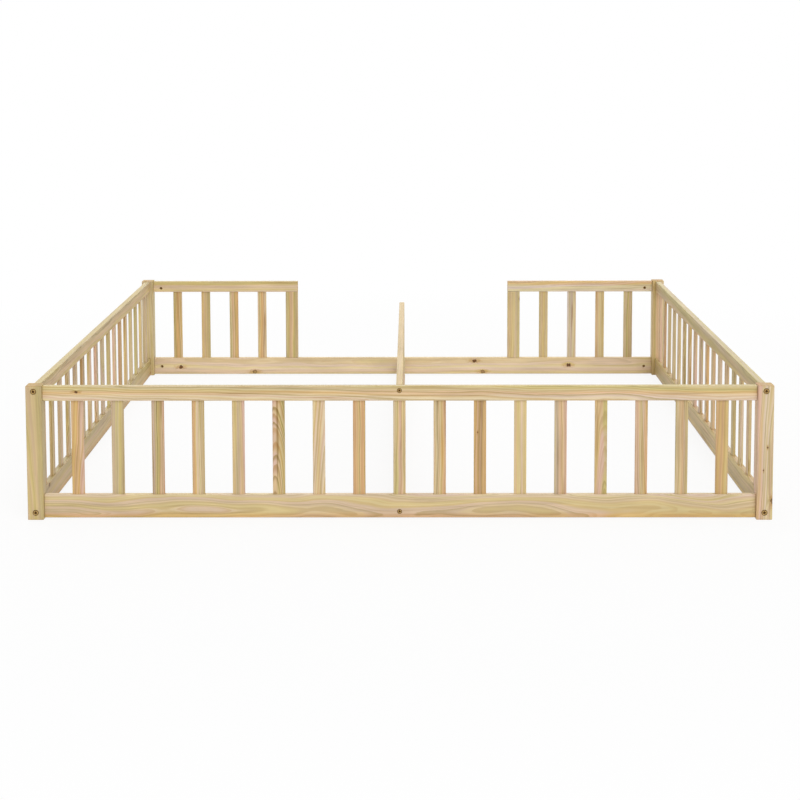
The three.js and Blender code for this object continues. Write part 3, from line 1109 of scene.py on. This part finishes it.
def knots_in(board, marks):
    """The marked knots with their places in the board."""
    middle = (board["low"] + board["high"]) / 2
    upright = board["grain"] == "z"
    run = 0 if upright else "xyz".index(board["grain"])
    found = []
    for sideways, height, radius, darkness in marks:
        sideways = sideways * MM - middle[run]
        height = height * MM - middle.z
        place = {
            "along": height if upright else sideways,
            "across": sideways if upright else height,
            "face": -board["size"].z / 2 if upright else 0.0,
            "depth": knot_depth if upright else right_through,
            "radius": radius * MM,
        }
        found.append((place, darkness))
    return found


knotty_pines = {}
for name, marks in marked_knots.items():
    knotty_pines[name] = pine("knotty_" + name, knots_in(boards[name], marks))
print("boards with knots:", len(knotty_pines))

# %% [markdown]
# Picking the boards.
# A joiner lays the boards out and turns them until the fence looks even. The front slats, the rails and the
# posts were picked to follow the bed in the picture, in a few words each: how light, how strong the figure
# is, how it was sawn, and its tint on the left, in the middle and on the right, or from the bottom up on a
# rail. The rest are drawn with a seeded hand, so that no two boards are alike and every run gives the same
# bed. Milk, the palest tint, and the wavy cut of the front lower rail turn up only where picked.

# %% Name the woods
shades = {"pale": 1.04, "even": 0.98, "deep": 0.93, "dark": 0.85}
strengths = {"faint": 0.35, "soft": 0.60, "clear": 0.90, "bold": 1.20}
tints = {
    "plain": (1.00, 0.99, 0.92),
    "cream": (1.05, 1.06, 1.10),
    "sage": (0.90, 0.93, 0.76),
    "amber": (1.00, 0.89, 0.74),
    "gold": (0.97, 0.93, 0.74),
    "orange": (0.98, 0.82, 0.60),
    "olive": (0.84, 0.84, 0.62),
    "rose": (1.02, 0.90, 0.93),
    "brown": (0.82, 0.68, 0.52),
    "grey": (0.85, 0.83, 0.84),
}
common_tints = list(tints)
tints["milk"] = (1.03, 1.10, 1.25)
# A cut gives the pith's distance sideways and below in mm, its tilt to the board, and the width of a ring.
cuts = {
    "quarter": ((60, 130), (5, 40), (0.01, 0.05), 6.5),
    "rift": ((30, 60), (15, 45), (0.03, 0.08), 5.5),
    "flat": ((0, 12), (18, 40), (0.07, 0.13), 3.6),
    "long_flat": ((16, 34), (22, 46), (0.004, 0.012), 4.0),
    "wavy": ((10, 18), (12, 20), (0.006, 0.012), 5.0),
}
print("words for a board:", ", ".join([*shades, *strengths, *cuts, *tints]))

# %% Pick the boards that the picture shows
picked_slats = {
    "front": [
        "even clear rift orange orange rose",
        "even soft quarter grey sage olive",
        "deep bold quarter grey olive rose",
        "even clear quarter orange cream olive",
        "even soft quarter gold grey rose",
        "even bold flat rose gold olive",
        "pale clear rift plain gold cream",
        "even bold quarter orange amber orange",
        "pale clear rift sage rose gold",
        "even bold quarter plain plain orange",
        "deep clear quarter orange brown orange",
        "pale faint quarter gold plain gold",
        "even clear quarter grey rose rose",
        "even soft flat amber rose olive",
        "even clear rift rose plain orange",
        "even clear quarter plain rose olive",
        "deep soft rift orange orange gold",
    ],
    "back_left": [
        "even bold quarter olive orange gold",
        "deep soft quarter amber gold olive",
        "even clear quarter sage amber orange",
        "pale clear quarter plain orange plain",
    ],
    "back_right": [
        "even clear quarter olive gold plain",
        "deep bold quarter milk milk cream",
        "even soft quarter amber plain gold",
        "even clear quarter sage olive grey",
    ],
}
picked_boards = {
    "front_top_rail": "pale clear long_flat cream amber sage",
    # The front lower rail's cream high side is painted light on its top face and the top of its front.
    "front_lower_rail": "even soft wavy orange plain cream",
    "back_lower_rail": "pale faint long_flat plain cream plain",
    "back_left_top_rail": "pale soft long_flat plain plain olive",
    "back_right_top_rail": "pale soft long_flat milk milk amber",
    "left_top_rail": "even soft long_flat gold gold olive",
    # The right rails are picked deep and the left lower rail dark, a painted shade for their inner faces.
    "right_top_rail": "deep soft long_flat gold olive sage",
    "left_lower_rail": "dark soft long_flat orange gold olive",
    "right_lower_rail": "deep clear long_flat gold olive gold",
    "divider_top_rail": "even soft long_flat plain plain gold",
    "post_back_left": "even soft rift plain plain sage",
    "post_back_right": "even soft rift gold amber plain",
    "back_left_end_stile": "even clear rift sage amber olive",
    "back_right_end_stile": "even soft rift gold plain sage",
    "post_front_left": "deep faint rift gold gold olive",
    "post_front_right": "even soft rift rose cream plain",
}
print("boards picked by eye:", len(picked_boards) + sum(len(fence) for fence in picked_slats.values()))

# %% Say where tints meet, and how far trunks wander
# Borders are where the low and the high side end, from -1 to 1 across the board, and how wavy they are.
usual_borders = (-0.35, 0.35, 1.1)
rail_borders = (-0.45, 0.35, 0.8)
picked_borders = {
    # The high border of the front lower rail bounds its cream, a painted light on the top face.
    "front_lower_rail": (-0.66, 0.75, 0.30),
    "front_top_rail": (-0.15, 0.30, 0.55),
}
wanders = {"slat": 20 * MM, "rail": 18 * MM, "post": 12 * MM}
picked_wanders = {"front_lower_rail": 60 * MM}
trunk_places = (0, 40)
streak_range = (0.3, 1.0)
hand = random.Random(23)
print("a trunk wanders by, in mm:", {kind: round(wander / MM) for kind, wander in wanders.items()})


# %% Give every board its wood
def kind_of(name):
    """Slat, rail or post. The end stiles are sawn like posts."""
    if name in slats:
        return "slat"
    return "rail" if name in rails else "post"


def drawn_board(kind):
    """A wood for a board that nobody picked."""
    shade = hand.choice(["pale", "even", "even", "deep"])
    strength = hand.choice(["soft", "clear", "bold"]) if kind == "slat" else "soft"
    cut_name = "long_flat" if kind == "rail" else hand.choice(["quarter", "quarter", "rift", "flat"])
    return shade, strength, cut_name, *(hand.choice(common_tints) for side in range(3))


def drawn_pith(cut_name):
    """A pith to one side of the board or the other, with a place along the trunk, and its tilt and ring
    width."""
    sideways, below, tilts, ring_width = cuts[cut_name]
    across = hand.choice((-1, 1)) * hand.uniform(*sideways) * MM
    depth = hand.choice((-1, 1)) * hand.uniform(*below) * MM
    tilt = hand.choice((-1, 1)) * hand.uniform(*tilts)
    return (across, depth, hand.uniform(*trunk_places)), tilt, ring_width * MM


def wood_of(name, kind):
    """How light a board is, how strong its figure is, how it was sawn, and its three tints."""
    fence, slat, number = name.partition("_slat_")
    if slat and fence in picked_slats:
        return picked_slats[fence][int(number) - 1].split()
    if name in picked_boards:
        return picked_boards[name].split()
    return drawn_board(kind)


def store(mesh, name, value):
    """The same vector on every point of a mesh, for the nodes to read."""
    layer = mesh.attributes.new(name, "FLOAT_VECTOR", "POINT")
    layer.data.foreach_set("vector", list(value) * len(mesh.vertices))


for name, board in boards.items():
    kind = kind_of(name)
    shade, strength, cut_name, low_side, middle, high_side = wood_of(name, kind)
    pith, tilt, ring_width = drawn_pith(cut_name)
    streaks = hand.uniform(*streak_range) * strengths[strength]
    brought = {
        "pith": pith,
        "growth": (tilt, ring_width, picked_wanders.get(name, wanders[kind])),
        "tone": (shades[shade], strengths[strength], streaks),
        "half_size": board["size"] / 2,
        "borders": picked_borders.get(name, rail_borders if kind == "rail" else usual_borders),
        "low_side": tints[low_side],
        "middle": tints[middle],
        "high_side": tints[high_side],
    }
    mesh = board["piece"].data
    for label, value in brought.items():
        store(mesh, label, value)
    mesh.materials.clear()
    mesh.materials.append(knotty_pines.get(name, clear_pine))
    board["slot"] = "pine_posts" if name in posts else f"pine_{kind}s" if kind != "post" else "pine_rails"
print("boards with a wood:", len(boards))

# %% [markdown]
# Bronze.
# The hardware is steel with a bronze plating. Its colour is dark at the rim of a head, a painted shadow of
# the thin gap round it, and dark in its socket, a painted shade, and bright in mottled patches between, which
# are painted highlights. Metal shows what is round it more than its own colour, so the dark is painted well
# down. Each piece brings its own radius.

# %% Build the bronze
# Dark plating, also the painted shade at the rim and in the socket, and the bright of the painted highlights.
bronze_dark = (0.105, 0.050, 0.015, 1)
bronze_glint = (0.92, 0.63, 0.25, 1)
socket_shade_rim = 0.42
glint_ring = (0.50, 0.72)
rim_shadow = 0.92
mottle_scale = 480.0
mottle_detail = 3.0
glint_patches = (0.30, 0.66)
mottle_range = (0.3, 0.7)
duller = 0.1
glossier = 0.06
pitting = 0.2
pit_depth = 0.05 * MM


def bronze(name, roughness, glint_strength):
    """Plated steel, with painted shade at the rim and in the socket and painted highlights between."""
    material, shader, known = new_material(name, ["half_size"])
    share = length(*split(known["timber"])[1:]) / split(known["half_size"])[1]
    # Painted shade at the rim and in the socket, and painted highlights in patches of the ring between.
    ring = ramp(share, socket_shade_rim, glint_ring[0]) * ramp(share, glint_ring[1], rim_shadow, *FALLING)
    mottle = noise(known["timber"], mottle_scale, mottle_detail)
    glint = ring * ramp(mottle, *glint_patches) * glint_strength
    feed(shader["Base Color"], mix(glint, bronze_dark, bronze_glint))
    feed(shader["Roughness"], ramp(mottle, *mottle_range, roughness + duller, roughness - glossier))
    feed(shader["Metallic"], 1.0)
    bump = {"Strength": pitting, "Distance": pit_depth, "Height": mottle}
    feed(shader["Normal"], new_value("ShaderNodeBump", "Normal", bump))
    return material


bolt_bronze = bronze("bronzed_bolts", 0.30, 0.8)
nut_bronze = bronze("barrel_nuts", 0.42, 0.35)
for node, piece in hardware.items():
    item = bolts.get(node) or nuts[node]
    store(piece.data, "half_size", (item["length"] / 2, item["radius"], item["radius"]))
    piece.data.materials.clear()
    piece.data.materials.append(bolt_bronze if node in bolts else nut_bronze)
print("pieces in bronze:", len(hardware))

# %% [markdown]
# Taking the place of the frame.
# Every new piece rides on the frame's body and stands for the node that it was made from. Slats that are one
# node with their top rail in the frame all stand for that node together.

# %% Ride on the frame
def node_for(name):
    """The node in the frame that a board stands for."""
    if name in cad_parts:
        return name
    if name in slats:
        return name.split("_slat_")[0] + "_top_rail_with_slats"
    return name + "_with_slats"


for name, board in boards.items():
    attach(board["piece"], "root")
    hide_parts(node_for(name))
for node, piece in hardware.items():
    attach(piece, "root")
    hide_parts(node)
print("pieces:", len(boards) + len(hardware))

# %% [markdown]
# The floor.
# The bed stands in a white room with no visible edge between floor and wall. The floor gives the eye white
# of its own and only part of the light that falls on it, so that it stays white and keeps a faint shadow.
# A plain white floor would take its tone from the lamps and show an edge. So a light path tells the rays
# that show the floor from those that only light the bed, and the same switch serves the room behind.

# %% Lay the floor
floor_half = 40.0
floor_own_white = 0.86
floor_matt = (0.9, 0.9, 0.9, 1)
shadow_reach = (1.9, 3.4)
pure_white = {"Color": (1, 1, 1, 1), "Strength": 1.0}


def show_white(tree, end, plain, white, share=1.0):
    """Shows a share of white to the camera, to metal and through clear pieces, and what is plain to the
    other rays."""
    path = new_node("ShaderNodeLightPath", tree=tree).outputs
    seen = Value(path["Is Camera Ray"])
    for ray in ("Is Glossy Ray", "Is Transmission Ray"):
        seen = seen.maths("MAXIMUM", Value(path[ray]))
    mixed = new_value("ShaderNodeMixShader", 0, {0: seen * share, 1: plain, 2: white})
    new_node(end, {"Surface": mixed})


floor_shape = bmesh.new()
bmesh.ops.create_grid(floor_shape, x_segments=8, y_segments=8, size=floor_half)
floor = make_piece("floor", floor_shape, Matrix.Identity(4))
floor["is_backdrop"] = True
floor_material = bpy.data.materials.new("white_floor")
floor_material.use_nodes = True
tree = floor_material.node_tree
tree.nodes.clear()
matt = new_value("ShaderNodeBsdfDiffuse", 0, {"Color": floor_matt}, tree)
own = new_value("ShaderNodeEmission", 0, pure_white, tree)
from_middle = length(*split(new_value("ShaderNodeTexCoord", "Object", tree=tree))[:2])
own_white = ramp(from_middle, *shadow_reach, floor_own_white, 1.0)
show_white(tree, "ShaderNodeOutputMaterial", matt, own, own_white)
floor.data.materials.append(floor_material)
print("floor, side in metres:", 2 * floor_half)

# %% [markdown]
# The light.
# It is plain and soft: an even room, a wide light overhead, one from the front, and one from behind that is
# nearly as strong. They stand far off, so that near and far rails are lit alike. Softboxes close to the bed
# would look more like a studio, but the rails next to them would come out brighter.

# %% Light the room
room_light = 0.48

world = bpy.data.worlds.new("white_room")
bpy.context.scene.world = world
world.use_nodes = True
tree = world.node_tree
tree.nodes.clear()
lit = new_value("ShaderNodeBackground", 0, {"Color": (1, 1, 1, 1), "Strength": room_light}, tree)
white = new_value("ShaderNodeBackground", 0, pure_white, tree)
show_white(tree, "ShaderNodeOutputWorld", lit, white)


def far_light(name, towards, strength, angle):
    """A soft light from far away, so that the back of the bed gets as much of it as the front."""
    light = bpy.data.lights.new(name, "SUN")
    light.energy = strength
    light.angle = math.radians(angle)
    lamp = bpy.data.objects.new(name, light)
    lamp.rotation_euler = Vector(towards).to_track_quat("-Z", "Y").to_euler()
    bpy.context.scene.collection.objects.link(lamp)


far_light("front_light", (-0.30, 0.75, -0.62), 1.12, 45)
far_light("overhead_light", (-0.10, 0.10, -1.0), 0.70, 90)
far_light("back_light", (0.20, -0.90, -0.35), 0.90, 70)
bpy.context.scene.view_settings.view_transform = "Standard"

# %% [markdown]
# Last measure.
# The dressed bed has to stay inside the box of its construction, so how far it reaches outside that box
# is printed.

# %% Measure how far the bed reaches outside the frame
low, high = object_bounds()
print("furthest outside the frame, in mm:", round(max(*(cad_low - low), *(high - cad_high)) / MM, 3))
